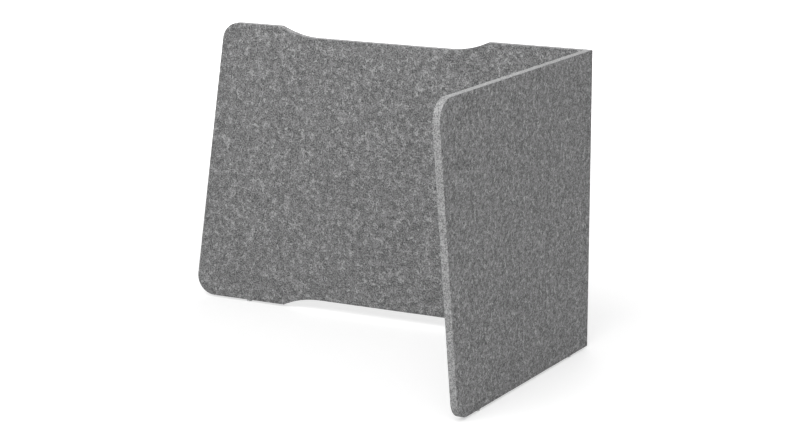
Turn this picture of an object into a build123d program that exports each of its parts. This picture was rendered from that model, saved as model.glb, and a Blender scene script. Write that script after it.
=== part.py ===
from build123d import *

import os
from math import cos, pi, radians, sqrt, tan

# Folding L-shaped study carrel of thick pressed felt, standing on a desk on four small feet.
#
# Frame: +Z up, +Y towards the rear, +X towards the fold. The origin lies on the desk, under the
# middle of the carrel's outline. Lengths are in millimetres.
#
# One felt board makes both panels. A V-groove is cut into its inner face, so that the board folds
# along a thin skin left on the outer face. Closed, the two mitred faces meet and the board stands
# as an L. Open, it lies flat. Each foot is a bumper whose stem is pressed into the cut edge.

# ---- driving dimensions: the felt board ----
panel_height = 480.0
felt_thickness = 12.0
back_length = 740.0  # along the desk, from the outer corner to the sharp tip of the free end
side_length = 460.0  # along the desk, from the outer corner to the sharp tip of the front end
end_slope = 8.0  # degrees that both free ends lean from upright, the same way on the flat board
corner_radius = 32.0

# ---- the shallow recess in the top and the bottom edge of the back ----
recess_from_fold = 178.0  # from the outer corner to where the recess breaks the edge
recess_from_tip = 178.0  # from the sharp tip of the free end to the other break
recess_shoulder = 70.0  # length of each curved shoulder along the edge
recess_depth = 16.0

# ---- the fold ----
skin_thickness = 2.0
skin_inner_radius = 0.5
mitre_gap = 0.2  # between the closed mitred faces

# ---- the feet ----
foot_diameter = 10.0
foot_height = 3.2
foot_draft = 0.4  # how much the radius shrinks towards the desk
foot_rounding = 0.8  # of the lower edge
stem_diameter = 4.0
stem_length = 9.0
stem_tip = 0.8  # chamfer of the stem's end
stem_clearance = 0.0  # radial, a line-to-line push fit
hole_spare = 1.0  # depth left above the stem
back_foot_from_fold = 106.0
back_foot_from_tip = 106.0
side_foot_from_fold = 65.0
side_foot_from_tip = 72.0

# ---- worked out ----
lean = tan(radians(end_slope))
fold_radius = skin_inner_radius + skin_thickness
rounding_cut = corner_radius * (lean + 1 / cos(radians(end_slope)) - 1)  # tip lost to the rounding
outline_width = back_length - rounding_cut
outline_depth = side_length + panel_height * lean - rounding_cut
fold_x = outline_width / 2
rear_y = outline_depth / 2
mitre_cut = felt_thickness - fold_radius + mitre_gap / sqrt(2)

# Seen from inside the carrel, both board planes start at the foot of the outer corner.
back_plane = Plane(origin=(fold_x, rear_y, foot_height), x_dir=(1, 0, 0), z_dir=(0, -1, 0))
side_plane = Plane(origin=(fold_x, rear_y, foot_height), x_dir=(0, -1, 0), z_dir=(-1, 0, 0))

# About this axis the side swings from closed to flat while the middle of the skin keeps its length.
skin_length = pi / 2 * (skin_inner_radius + skin_thickness / 2)
axis_inset = fold_radius - skin_length / 2
print(f"fold axis at x {fold_x - axis_inset:.4f}, y {rear_y - axis_inset:.4f}")
print(f"outline {outline_width:.3f} x {outline_depth:.3f}, height {foot_height + panel_height:.3f}")

back_middle = rear_y - felt_thickness / 2
side_middle = fold_x - felt_thickness / 2
back_feet = {
    "foot_back_left": (fold_x - back_length + back_foot_from_tip, back_middle),
    "foot_back_right": (fold_x - back_foot_from_fold, back_middle),
}
side_feet = {
    "foot_side_rear": (side_middle, rear_y - side_foot_from_fold),
    "foot_side_front": (side_middle, rear_y - side_length + side_foot_from_tip),
}


def board_outline(near, far):
    # The panel between the fold and its leaning free end, whose corners are still sharp.
    top = panel_height
    with BuildLine() as outline:
        Polyline((near, 0), (far, 0), (far + top * lean, top), (near, top), close=True)
    make_face(outline.edges())


def recess(edge, inward):
    # The void between a straight edge of the back and the recess floor with its curved shoulders.
    floor = edge + inward * recess_depth
    left, right = recess_from_tip - back_length, -recess_from_fold
    flat_left, flat_right = left + recess_shoulder, right - recess_shoulder
    with BuildLine() as void:
        Line((flat_left, floor), (flat_right, floor))
        TangentArc((flat_right, floor), (right, edge), tangent=(1, 0))
        Line((right, edge), (left, edge))
        TangentArc((flat_left, floor), (left, edge), tangent=(-1, 0))
    make_face(void.edges(), mode=Mode.SUBTRACT)


def foot_holes(feet):
    # Blind holes drilled up into the cut edge of a panel.
    for x, y in feet.values():
        with Locations(Plane(origin=(x, y, foot_height), z_dir=(0, 0, -1))):
            Hole(stem_diameter / 2 + stem_clearance, stem_length + hole_spare)


# ---- the back ----
with BuildPart() as back_panel:
    with BuildSketch(back_plane) as back_face:
        board_outline(-fold_radius, -back_length)
        fillet(back_face.vertices().sort_by(Axis.X)[:2], corner_radius)
        recess(0, 1)
        recess(panel_height, -1)
    extrude(amount=felt_thickness)
    fold_edges = back_panel.edges().filter_by(Axis.Z).group_by(Axis.X)[-1]
    chamfer(fold_edges.sort_by(Axis.Y)[0], mitre_cut)
    foot_holes(back_feet)

# ---- the side ----
with BuildPart() as side_panel:
    with BuildSketch(side_plane) as side_face:
        board_outline(fold_radius, side_length)
        fillet(side_face.vertices().sort_by(Axis.X)[-2:], corner_radius)
    extrude(amount=felt_thickness)
    fold_edges = side_panel.edges().filter_by(Axis.Z).group_by(Axis.Y)[-1]
    chamfer(fold_edges.sort_by(Axis.X)[0], mitre_cut)
    foot_holes(side_feet)

# ---- the skin that stays when the V-groove is cut, bent round the corner ----
with BuildPart() as fold_skin:
    with BuildSketch(Plane.XY.offset(foot_height)):
        with BuildLine():
            x, y = fold_x - fold_radius, rear_y - fold_radius
            CenterArc((x, y), fold_radius, 0, 90)
            Line((x, y + fold_radius), (x, y + skin_inner_radius))
            CenterArc((x, y), skin_inner_radius, 0, 90)
            Line((x + skin_inner_radius, y), (x + fold_radius, y))
        make_face()
    extrude(amount=panel_height)

# ---- write the parts ----
os.makedirs("parts", exist_ok=True)
back_panel.part.label = "back_panel"
export_step(back_panel.part, "parts/back_panel.step")
side_panel.part.label = "side_panel"
export_step(side_panel.part, "parts/side_panel.step")
fold_skin.part.label = "fold_skin"
export_step(fold_skin.part, "parts/fold_skin.step")

# ---- the feet: a round bumper on the desk with a stem up into the felt ----
for name, (x, y) in (back_feet | side_feet).items():
    with BuildPart() as foot:
        with BuildSketch(Plane(origin=(x, y, 0), x_dir=(1, 0, 0), z_dir=(0, -1, 0))):
            with BuildLine():
                Polyline(
                    (0, 0),
                    (foot_diameter / 2 - foot_draft, 0),
                    (foot_diameter / 2, foot_height),
                    (stem_diameter / 2, foot_height),
                    (stem_diameter / 2, foot_height + stem_length),
                    (0, foot_height + stem_length),
                    close=True,
                )
            make_face()
        revolve(axis=Axis((x, y, 0), (0, 0, 1)))
        fillet(foot.edges().filter_by(GeomType.CIRCLE).group_by(Axis.Z)[0], foot_rounding)
        chamfer(foot.edges().filter_by(GeomType.CIRCLE).group_by(Axis.Z)[-1], stem_tip)
    foot.part.label = name
    export_step(foot.part, f"parts/{name}.step")
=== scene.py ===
from math import asin, cos, pi, radians, sin, sqrt, tan

import bmesh
import bpy
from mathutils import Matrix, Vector, noise


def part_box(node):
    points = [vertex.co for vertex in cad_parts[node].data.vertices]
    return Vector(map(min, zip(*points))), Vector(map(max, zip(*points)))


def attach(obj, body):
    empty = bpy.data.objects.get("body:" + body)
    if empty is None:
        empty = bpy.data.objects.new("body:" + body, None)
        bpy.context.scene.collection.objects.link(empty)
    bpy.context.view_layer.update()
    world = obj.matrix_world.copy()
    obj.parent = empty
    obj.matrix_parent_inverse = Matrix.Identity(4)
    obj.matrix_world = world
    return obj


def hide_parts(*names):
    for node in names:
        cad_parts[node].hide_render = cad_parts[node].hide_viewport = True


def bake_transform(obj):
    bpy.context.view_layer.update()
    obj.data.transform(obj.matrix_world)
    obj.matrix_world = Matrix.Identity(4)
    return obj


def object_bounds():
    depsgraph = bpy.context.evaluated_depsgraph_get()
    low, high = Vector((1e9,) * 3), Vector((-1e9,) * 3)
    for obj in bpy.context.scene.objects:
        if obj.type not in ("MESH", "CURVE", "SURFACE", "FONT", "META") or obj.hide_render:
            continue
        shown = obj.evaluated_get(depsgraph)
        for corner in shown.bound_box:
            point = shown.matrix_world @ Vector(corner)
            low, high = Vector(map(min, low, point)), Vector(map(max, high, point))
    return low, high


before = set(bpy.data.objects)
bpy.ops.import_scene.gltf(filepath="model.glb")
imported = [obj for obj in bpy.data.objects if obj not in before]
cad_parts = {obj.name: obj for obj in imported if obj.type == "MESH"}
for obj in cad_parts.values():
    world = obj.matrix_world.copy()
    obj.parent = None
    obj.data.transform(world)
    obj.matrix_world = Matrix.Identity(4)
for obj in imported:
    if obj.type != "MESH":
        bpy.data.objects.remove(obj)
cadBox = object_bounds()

# Metres, Z up. Both boards are set out from the carrel's outer corner, where the fold is.
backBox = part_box("back_panel")
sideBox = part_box("side_panel")
cornerX = sideBox[1][0]
rearY = backBox[1][1]
deskToFelt = backBox[0][2]
feltHeight = backBox[1][2] - backBox[0][2]
feltThickness = backBox[1][1] - backBox[0][1]
foldRadius = cornerX - backBox[1][0]  # from the outer corner to where the boards end and the skin starts

faceSlot, cutSlot = 0, 1  # material slots of every felt piece
midNoise = 0.5  # the level that a noise varies about


def makeGroup(name, inputs, outputs):
    # inputs: name to default value. outputs: name to socket type.
    group = bpy.data.node_groups.new(name, "ShaderNodeTree")
    for label, value in inputs.items():
        socket = group.interface.new_socket(name=label, in_out="INPUT", socket_type="NodeSocketFloat")
        socket.default_value = value
    for label, kind in outputs.items():
        group.interface.new_socket(name=label, in_out="OUTPUT", socket_type=kind)
    return group, group.nodes.new("NodeGroupInput"), group.nodes.new("NodeGroupOutput")


def mathNode(tree, operation, first, second=None):
    node = tree.nodes.new("ShaderNodeMath")
    node.operation = operation
    for index, value in enumerate((first, second)):
        if value is None:
            continue
        if isinstance(value, (int, float)):
            node.inputs[index].default_value = value
        else:
            tree.links.new(value, node.inputs[index])
    return node.outputs[0]


def remap(tree, value, low, high, toLow=0.0, toHigh=1.0):
    node = tree.nodes.new("ShaderNodeMapRange")
    node.interpolation_type = "SMOOTHSTEP"
    for index, limit in enumerate((low, high, toLow, toHigh)):
        node.inputs[index + 1].default_value = limit
    tree.links.new(value, node.inputs[0])
    return node.outputs[0]


def noiseField(tree, place, size, detail, rough, distortion=0.0, shift=0.0):
    # size: a socket or a length in metres for one blotch. shift moves the field, so that no two agree.
    move = tree.nodes.new("ShaderNodeVectorMath")
    move.inputs[1].default_value = (shift, shift * 0.7, -shift)
    tree.links.new(place, move.inputs[0])
    node = tree.nodes.new("ShaderNodeTexNoise")
    node.inputs["Detail"].default_value = detail
    node.inputs["Roughness"].default_value = rough
    node.inputs["Distortion"].default_value = distortion
    tree.links.new(move.outputs[0], node.inputs["Vector"])
    tree.links.new(mathNode(tree, "DIVIDE", 1.0, size), node.inputs["Scale"])
    return node.outputs[0]


def mixColour(tree, amount, first, second):
    node = tree.nodes.new("ShaderNodeMix")
    node.data_type = "RGBA"
    for value, socket in ((first, node.inputs[6]), (second, node.inputs[7])):
        if isinstance(value, tuple):
            socket.default_value = (*value, 1.0)
        else:
            tree.links.new(value, socket)
    tree.links.new(amount, node.inputs[0])
    return node.outputs[2]


def startMaterial(name):
    material = bpy.data.materials.new(name)
    material.use_nodes = True
    tree = material.node_tree
    return material, tree, tree.nodes["Principled BSDF"]


marl = {
    "mottle": {"detail": 3.0, "rough": 0.6, "distortion": 0.6},
    "grain": {"detail": 3.0, "rough": 0.6, "distortion": 0.3, "shift": 3.1},
    "curl": {"detail": 1.5, "rough": 0.5, "distortion": 2.2},
    "breaks": {"detail": 1.0, "rough": 0.5},
    "mottleShare": 0.26,  # of the tone, and the grain has the rest
    "grainHeight": 0.7,  # of the relief, and the light fibres have the rest
    "lightFibres": ((11.0, 0.56), (23.0, 0.57)),  # shift of each field, and a level: higher shows fewer
    "darkFibres": (41.0, 0.56),
    "fadeIn": 0.08,  # from the level at which a fibre starts to the one where it shows in full
    "fadeShift": 9,
}


def buildMarlGroup():
    # Marled fibre: broad mottling, fine grain, and curled light and dark fibres.
    group, given, result = makeGroup(
        "marlFibre",
        {"Mottle Size": 0.0075, "Grain Size": 0.0022, "Curl Size": 0.010, "Curl Width": 0.02},
        {"Tone": "NodeSocketFloat", "Light": "NodeSocketFloat", "Dark": "NodeSocketFloat",
         "Height": "NodeSocketFloat"},
    )
    place = group.nodes.new("ShaderNodeTexCoord").outputs["Object"]
    mottleSize = given.outputs["Mottle Size"]
    mottle = noiseField(group, place, mottleSize, **marl["mottle"])
    grain = noiseField(group, place, given.outputs["Grain Size"], **marl["grain"])

    def blend(first, second, share):
        part = mathNode(group, "MULTIPLY", first, share)
        return mathNode(group, "ADD", part, mathNode(group, "MULTIPLY", second, 1 - share))

    def curls(shift, level):
        # Thin contour lines of a twisted noise, broken into short lengths.
        field = noiseField(group, place, given.outputs["Curl Size"], shift=shift, **marl["curl"])
        offLine = mathNode(group, "ABSOLUTE", mathNode(group, "SUBTRACT", field, midNoise))
        across = mathNode(group, "DIVIDE", offLine, given.outputs["Curl Width"])
        line = mathNode(group, "SUBTRACT", 1.0, across)
        breaks = noiseField(group, place, mottleSize, shift=shift + marl["fadeShift"], **marl["breaks"])
        shown = remap(group, breaks, level, level + marl["fadeIn"])
        return mathNode(group, "MULTIPLY", mathNode(group, "MAXIMUM", line, 0.0), shown)

    firstLight, secondLight = marl["lightFibres"]
    lightCurls = mathNode(group, "MAXIMUM", curls(*firstLight), curls(*secondLight))
    darkCurls = curls(*marl["darkFibres"])
    tone = blend(mottle, grain, marl["mottleShare"])
    height = blend(grain, lightCurls, marl["grainHeight"])
    for label, value in (("Tone", tone), ("Light", lightCurls), ("Dark", darkCurls), ("Height", height)):
        group.links.new(value, result.inputs[label])
    return group


marlGroup = buildMarlGroup()
print("shader group built")

feltFinish = {
    "toneRange": (0.3, 0.7),
    "roughness": (0.86, 1.0),  # at each end of that range
    "specular": 0.2,
    "sheen": 0.08,
    "sheenRoughness": 0.6,
    "bumpDistance": 0.0008,
}

pressedFelt = {
    "marl": {"Mottle Size": 0.0085, "Grain Size": 0.0023, "Curl Size": 0.0095, "Curl Width": 0.06},
    "spread": 0.135,  # smaller gives more contrast
    "dark": (0.075, 0.075, 0.076),
    "light": (0.325, 0.326, 0.328),
    "darkFibre": (0.045, 0.045, 0.046),
    "lightFibre": (0.620, 0.621, 0.623),
    "darkFibres": 0.62,
    "lightFibres": 0.70,
    "bump": 0.45,
}

cutFelt = {
    "marl": {"Mottle Size": 0.006, "Grain Size": 0.0021, "Curl Size": 0.007, "Curl Width": 0.03},
    "spread": 0.13,
    "dark": (0.168, 0.168, 0.169),
    "light": (0.505, 0.506, 0.508),
    "darkFibre": (0.13, 0.130, 0.131),
    "lightFibre": (0.68, 0.681, 0.683),
    "darkFibres": 0.5,
    "lightFibres": 0.5,
    "bump": 0.6,
}


def feltMaterial(name, look):
    material, tree, shader = startMaterial(name)
    fibre = tree.nodes.new("ShaderNodeGroup")
    fibre.node_tree = marlGroup
    for label, value in look["marl"].items():
        fibre.inputs[label].default_value = value
    tone = fibre.outputs["Tone"]
    spread = remap(tree, tone, midNoise - look["spread"], midNoise + look["spread"])
    colour = mixColour(tree, spread, look["dark"], look["light"])
    darker = mathNode(tree, "MULTIPLY", fibre.outputs["Dark"], look["darkFibres"])
    colour = mixColour(tree, darker, colour, look["darkFibre"])
    lighter = mathNode(tree, "MULTIPLY", fibre.outputs["Light"], look["lightFibres"])
    colour = mixColour(tree, lighter, colour, look["lightFibre"])
    tree.links.new(colour, shader.inputs["Base Color"])
    roughness = remap(tree, tone, *feltFinish["toneRange"], *feltFinish["roughness"])
    tree.links.new(roughness, shader.inputs["Roughness"])
    shader.inputs["Specular IOR Level"].default_value = feltFinish["specular"]
    shader.inputs["Sheen Weight"].default_value = feltFinish["sheen"]
    shader.inputs["Sheen Roughness"].default_value = feltFinish["sheenRoughness"]
    bump = tree.nodes.new("ShaderNodeBump")
    bump.inputs["Strength"].default_value = look["bump"]
    bump.inputs["Distance"].default_value = feltFinish["bumpDistance"]
    tree.links.new(fibre.outputs["Height"], bump.inputs["Height"])
    tree.links.new(bump.outputs["Normal"], shader.inputs["Normal"])
    return material


feltFace = feltMaterial("pressedFelt", pressedFelt)
feltCut = feltMaterial("cutFelt", cutFelt)
print("felt materials built")

board = {
    "mitreGap": 0.0002,  # between the two boards when they stand closed
    "endSlope": 8.0,  # degrees that the free ends lean
    "cornerRadius": 0.032,
    "cornerSteps": 18,
    "shoulderSteps": 14,
    "softEdge": 0.0007,  # rounding of the cut edges
    "softTurns": (90, 60, 30, 0),  # degrees, from the face round to the cut edge
    "cutRows": (0.36, 0.5, 0.64, 0.78),  # rows of points across the cut edge, as shares of its thickness
    "cell": 0.005,  # spacing of the mesh
    "onPlane": 1e-6,  # points this close to a cut count as on it
    "sharpAngle": 40,  # the soft edges turn in smaller steps than this
}

# Lengths along a board run from the outer corner to the sharp tip of the free end.
backBoard = {
    "length": 0.740,
    "lean": -1,
    "recess": {"middle": 0.370, "width": 0.384, "flat": 0.244, "depth": 0.016},
}

sideBoard = {
    "length": 0.460,
    "lean": 1,
    "recess": None,
}

relief = {
    "face": 0.00013,  # how uneven the faces are
    "cut": 0.00022,
    "flatNearFold": 0.0125,  # from the outer corner, so that the mitres stay true
    "fade": 0.006,
    "broad": 90,  # waves to the metre
    "fine": 260,
    "fineShift": (7, 3, 5),
    "wave": 0.6,  # share of each noise
    "sink": 0.5,  # draws the surface in a little as a whole
}


def arc(centre, radius, start, end, steps):
    turns = [start + (end - start) * step / steps for step in range(steps + 1)]
    return [(centre[0] + radius * cos(turn), centre[1] + radius * sin(turn)) for turn in turns]


def recessPoints(recess, edge, inward):
    # From the near break in the edge to the far one, along two shoulders and the flat.
    run = (recess["width"] - recess["flat"]) / 2
    depth = recess["depth"]
    radius = (run**2 + depth**2) / (2 * depth)
    reach = asin(run / radius)
    steps = board["shoulderSteps"]
    points = []
    for side in (-1, 1):
        foot = recess["middle"] + side * recess["flat"] / 2
        for step in range(steps + 1):
            share = 1 - step / steps if side < 0 else step / steps
            turn = reach * share
            rise = depth - radius * (1 - cos(turn))
            points.append((foot + side * radius * sin(turn), edge + inward * rise))
    return points


def boardOutline(shape, near):
    # Round the board once, starting at the foot of the fold end.
    slope = shape["lean"] * tan(radians(board["endSlope"]))
    radius = board["cornerRadius"]
    stretch = sqrt(1 + slope**2)
    facing = -shape["lean"] * radians(board["endSlope"])  # the way that the free end faces
    low = (shape["length"] + slope * radius - radius * stretch, radius)
    high = (low[0] + slope * (feltHeight - 2 * radius), feltHeight - radius)
    points = [(near, 0.0)]
    if shape["recess"]:
        points += recessPoints(shape["recess"], 0.0, 1)
    points += arc(low, radius, -pi / 2, facing, board["cornerSteps"])
    points += arc(high, radius, facing, pi / 2, board["cornerSteps"])
    if shape["recess"]:
        points += reversed(recessPoints(shape["recess"], feltHeight, -1))
    points.append((near, feltHeight))
    return points


def insetOutline(points, amount):
    # Moves the outline inwards, but keeps its two fold-end points on the fold.
    moved = []
    count = len(points)
    for index, (u, v) in enumerate(points):
        if index in (0, count - 1):
            moved.append((u, v + amount if index == 0 else v - amount))
            continue
        before = Vector(points[index]) - Vector(points[index - 1])
        after = Vector(points[(index + 1) % count]) - Vector(points[index])
        first = Vector((-before.y, before.x)).normalized()
        second = Vector((-after.y, after.x)).normalized()
        shift = (first + second) * (amount / (1 + first.dot(second)))
        moved.append((u + shift.x, v + shift.y))
    return moved


def edgeRings():
    # Depth from the outer face, and how far the soft edge pulls the outline in there.
    soft = board["softEdge"]
    turns = [radians(turn) for turn in board["softTurns"]]
    rings = [(soft * (1 - sin(turn)), soft * (1 - cos(turn))) for turn in turns]
    mitreStart = foldRadius - board["mitreGap"] / sqrt(2)
    middle = [(mitreStart, 0.0)] + [(feltThickness * share, 0.0) for share in board["cutRows"]]
    return rings + middle + [(feltThickness - depth, inset) for depth, inset in reversed(rings)]


def cutIntoCells(mesh, along):
    # Even cells, so that the relief has points to move.
    for axis in (along, 2):
        places = [vert.co[axis] for vert in mesh.verts]
        low, high = min(places), max(places)
        count = int((high - low) / board["cell"])
        normal = [0.0, 0.0, 0.0]
        normal[axis] = 1.0
        for step in range(1, count):
            at = [0.0, 0.0, 0.0]
            at[axis] = low + (high - low) * step / count
            everything = mesh.verts[:] + mesh.edges[:] + mesh.faces[:]
            bmesh.ops.bisect_plane(mesh, geom=everything, dist=board["onPlane"], plane_co=at,
                                   plane_no=normal)


def addRelief(mesh):
    # Pressed felt is slightly uneven, and its cut edges a little more.
    mesh.normal_update()
    moves = []
    for vert in mesh.verts:
        away = max(abs(vert.co.x - cornerX), abs(vert.co.y - rearY))
        fade = min(max((away - relief["flatNearFold"]) / relief["fade"], 0.0), 1.0)
        onCut = any(face.material_index == cutSlot for face in vert.link_faces)
        amount = relief["cut"] if onCut else relief["face"]
        broad = noise.noise(vert.co * relief["broad"])
        fine = noise.noise(vert.co * relief["fine"] + Vector(relief["fineShift"]))
        height = broad * relief["wave"] + fine * relief["wave"] - relief["sink"]
        moves.append((vert, vert.normal * (amount * fade * height)))
    for vert, move in moves:
        vert.co += move


def makeFeltPiece(name, mesh):
    data = bpy.data.meshes.new(name)
    mesh.to_mesh(data)
    mesh.free()
    data.materials.append(feltFace)
    data.materials.append(feltCut)
    piece = bpy.data.objects.new(name, data)
    bpy.context.collection.objects.link(piece)
    return piece


def makeBoard(name, shape, place, along):
    # place turns (length, height, depth) into a point. along is the axis that the board runs along.
    mesh = bmesh.new()
    rings = []
    for depth, inset in edgeRings():
        near = max(foldRadius, depth + board["mitreGap"] / sqrt(2))
        outline = insetOutline(boardOutline(shape, near), inset)
        rings.append([mesh.verts.new(place(u, v, depth)) for u, v in outline])
    for ring in (rings[0], rings[-1]):
        mesh.faces.new(ring).material_index = faceSlot
    faceSteps = (0, len(rings) - 2)  # the face's finish runs on over the first step of each soft edge
    for index, (ring, following) in enumerate(zip(rings, rings[1:])):
        for step in range(len(ring)):
            after = (step + 1) % len(ring)
            face = mesh.faces.new((ring[step], ring[after], following[after], following[step]))
            face.material_index = faceSlot if index in faceSteps else cutSlot
    bmesh.ops.recalc_face_normals(mesh, faces=mesh.faces)
    cutIntoCells(mesh, along)
    addRelief(mesh)
    piece = makeFeltPiece(name, mesh)
    for polygon in piece.data.polygons:
        polygon.use_smooth = True
    piece.data.set_sharp_from_angle(angle=radians(board["sharpAngle"]))
    return piece


def backPlace(u, v, depth):
    return (cornerX - u, rearY - depth, deskToFelt + v)


def sidePlace(u, v, depth):
    return (cornerX - depth, rearY - u, deskToFelt + v)


backFelt = makeBoard("backFelt", backBoard, backPlace, 0)
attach(backFelt, "back")
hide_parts("back_panel")
print("back board built,", len(backFelt.data.polygons), "faces")

sideFelt = makeBoard("sideFelt", sideBoard, sidePlace, 1)
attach(sideFelt, "side")
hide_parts("side_panel")
print("side board built,", len(sideFelt.data.polygons), "faces")

skin = {
    "thickness": 0.002,
    "turns": 10,  # steps round the corner
    "levels": 96,  # steps up the fold
}


def makeSkin():
    # A quarter turn of felt between the two boards, built as it stands when they are closed; the real
    # strip opens flat.
    mesh = bmesh.new()
    turns, levels = skin["turns"], skin["levels"]
    soft = board["softEdge"]
    centre = (cornerX - foldRadius, rearY - foldRadius)
    columns = []
    for turn in range(turns + 1):
        angle = pi / 2 * (1 - turn / turns)
        column = []
        for radius, inset in ((foldRadius, soft), (foldRadius - skin["thickness"], 0.0)):
            x, y = centre[0] + radius * cos(angle), centre[1] + radius * sin(angle)
            heights = [inset + (feltHeight - 2 * inset) * level / levels for level in range(levels + 1)]
            column.append([mesh.verts.new((x, y, deskToFelt + height)) for height in heights])
        columns.append(column)
    for (outer, inner), (nextOuter, nextInner) in zip(columns, columns[1:]):
        for level in range(levels):
            mesh.faces.new((outer[level], nextOuter[level], nextOuter[level + 1], outer[level + 1]))
            mesh.faces.new((inner[level], inner[level + 1], nextInner[level + 1], nextInner[level]))
        for level in (0, levels):
            face = mesh.faces.new((outer[level], inner[level], nextInner[level], nextOuter[level]))
            face.material_index = cutSlot
    for outer, inner in (columns[0], columns[-1]):
        for level in range(levels):
            mesh.faces.new((outer[level], outer[level + 1], inner[level + 1], inner[level]))
    bmesh.ops.recalc_face_normals(mesh, faces=mesh.faces)
    piece = makeFeltPiece("foldSkin", mesh)
    for polygon in piece.data.polygons:
        polygon.use_smooth = polygon.material_index == faceSlot
    return piece


foldSkin = makeSkin()
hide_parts("fold_skin")
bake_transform(foldSkin)
print("fold skin built")

bumper = {
    "clear": (0.60, 0.61, 0.61),
    "cloudy": (0.74, 0.75, 0.75),
    "cloud": {"size": 0.004, "detail": 3.0, "rough": 0.6, "distortion": 0.5},
    "colourRange": (0.35, 0.65),  # of the cloud, from clear to cloudy
    "roughRange": (0.3, 0.7),
    "roughness": (0.28, 0.45),  # at each end of that range
    "transmission": 0.35,
    "ior": 1.49,
}


def bumperMaterial():
    # Cast polyurethane, slightly cloudy, with a satin skin.
    material, tree, shader = startMaterial("castBumper")
    place = tree.nodes.new("ShaderNodeTexCoord").outputs["Object"]
    cloud = noiseField(tree, place, **bumper["cloud"])
    cloudiness = remap(tree, cloud, *bumper["colourRange"])
    colour = mixColour(tree, cloudiness, bumper["clear"], bumper["cloudy"])
    tree.links.new(colour, shader.inputs["Base Color"])
    roughness = remap(tree, cloud, *bumper["roughRange"], *bumper["roughness"])
    tree.links.new(roughness, shader.inputs["Roughness"])
    shader.inputs["Transmission Weight"].default_value = bumper["transmission"]
    shader.inputs["IOR"].default_value = bumper["ior"]
    return material


castBumper = bumperMaterial()
for name in ("foot_back_left", "foot_back_right", "foot_side_rear", "foot_side_front"):
    for slot in bpy.data.objects[name].material_slots:
        slot.material = castBumper
print("feet finished")

floorLook = {
    "colour": (0.6, 0.6, 0.6, 1.0),
    "roughness": 0.9,
    "reach": 30.0,
    "ownWhite": (0.50, 0.85),  # near the object, and far out where the lamps don't reach
    "whiteRises": (0.7, 3.0),  # metres from the middle
}


def plainlySeen(tree):
    # 1 where the eye meets the surface directly, in a gloss or through the feet, and 0 for other light.
    path = tree.nodes.new("ShaderNodeLightPath")
    seen = mathNode(tree, "MAXIMUM", path.outputs["Is Camera Ray"], path.outputs["Is Glossy Ray"])
    return mathNode(tree, "MAXIMUM", seen, path.outputs["Is Transmission Ray"])


def makeFloor():
    data = bpy.data.meshes.new("floor")
    reach = floorLook["reach"]
    corners = [(-reach, -reach, 0), (reach, -reach, 0), (reach, reach, 0), (-reach, reach, 0)]
    data.from_pydata(corners, [], [(0, 1, 2, 3)])
    floor = bpy.data.objects.new("floor", data)
    bpy.context.collection.objects.link(floor)
    material, tree, shader = startMaterial("floor")
    shader.inputs["Base Color"].default_value = floorLook["colour"]
    shader.inputs["Roughness"].default_value = floorLook["roughness"]
    shader.inputs["Emission Color"].default_value = (1, 1, 1, 1)
    away = tree.nodes.new("ShaderNodeVectorMath")
    away.operation = "LENGTH"
    tree.links.new(tree.nodes.new("ShaderNodeTexCoord").outputs["Object"], away.inputs[0])
    glow = remap(tree, away.outputs["Value"], *floorLook["whiteRises"], *floorLook["ownWhite"])
    tree.links.new(mathNode(tree, "MULTIPLY", plainlySeen(tree), glow), shader.inputs["Emission Strength"])
    data.materials.append(material)


makeFloor()

# Power in watts. The sky is the light from all round.
lamps = {
    "key": {"power": 93, "place": (0.2, -2.2, 2.9), "size": 3.0},
    "fill": {"power": 25, "place": (3.8, -0.5, 1.5), "size": 2.4},
    "rear": {"power": 48, "place": (-1.2, 3.6, 1.7), "size": 2.6},
}
skyLevel = 0.42


def makeLamp(name, look, target):
    data = bpy.data.lights.new(name, "AREA")
    data.energy = look["power"]
    data.shape = "DISK"
    data.size = look["size"]
    lamp = bpy.data.objects.new(name, data)
    bpy.context.collection.objects.link(lamp)
    lamp.location = look["place"]
    lamp.rotation_euler = (target - Vector(look["place"])).to_track_quat("-Z", "Y").to_euler()


def makeSky():
    world = bpy.data.worlds.new("studio")
    bpy.context.scene.world = world
    world.use_nodes = True
    tree = world.node_tree
    background = tree.nodes["Background"]
    background.inputs["Color"].default_value = (1, 1, 1, 1)
    strength = remap(tree, plainlySeen(tree), 0.0, 1.0, skyLevel, 1.0)
    tree.links.new(strength, background.inputs["Strength"])


middle = (Vector(cadBox[0]) + Vector(cadBox[1])) / 2
for name, look in lamps.items():
    makeLamp(name, look, middle)
makeSky()

camera = {
    "fromCorner": (1.4933, -3.4237, 1.0518),  # to the lens, from the foot of the outer corner
    "turn": 28.371,  # degrees
    "pitch": 12.789,
    "lens": 110.05,  # millimetres
    "sensor": 36,
}


def makeCamera():
    lens = bpy.data.cameras.new("camera")
    lens.lens = camera["lens"]
    lens.sensor_width = camera["sensor"]
    eye = bpy.data.objects.new("camera", lens)
    bpy.context.collection.objects.link(eye)
    eye.location = Vector((cornerX, rearY, deskToFelt)) + Vector(camera["fromCorner"])
    eye.rotation_euler = (radians(90 - camera["pitch"]), 0, radians(camera["turn"]))
    bpy.context.scene.camera = eye
    bpy.context.scene.view_settings.view_transform = "Standard"


makeCamera()
print("floor, light and camera set")
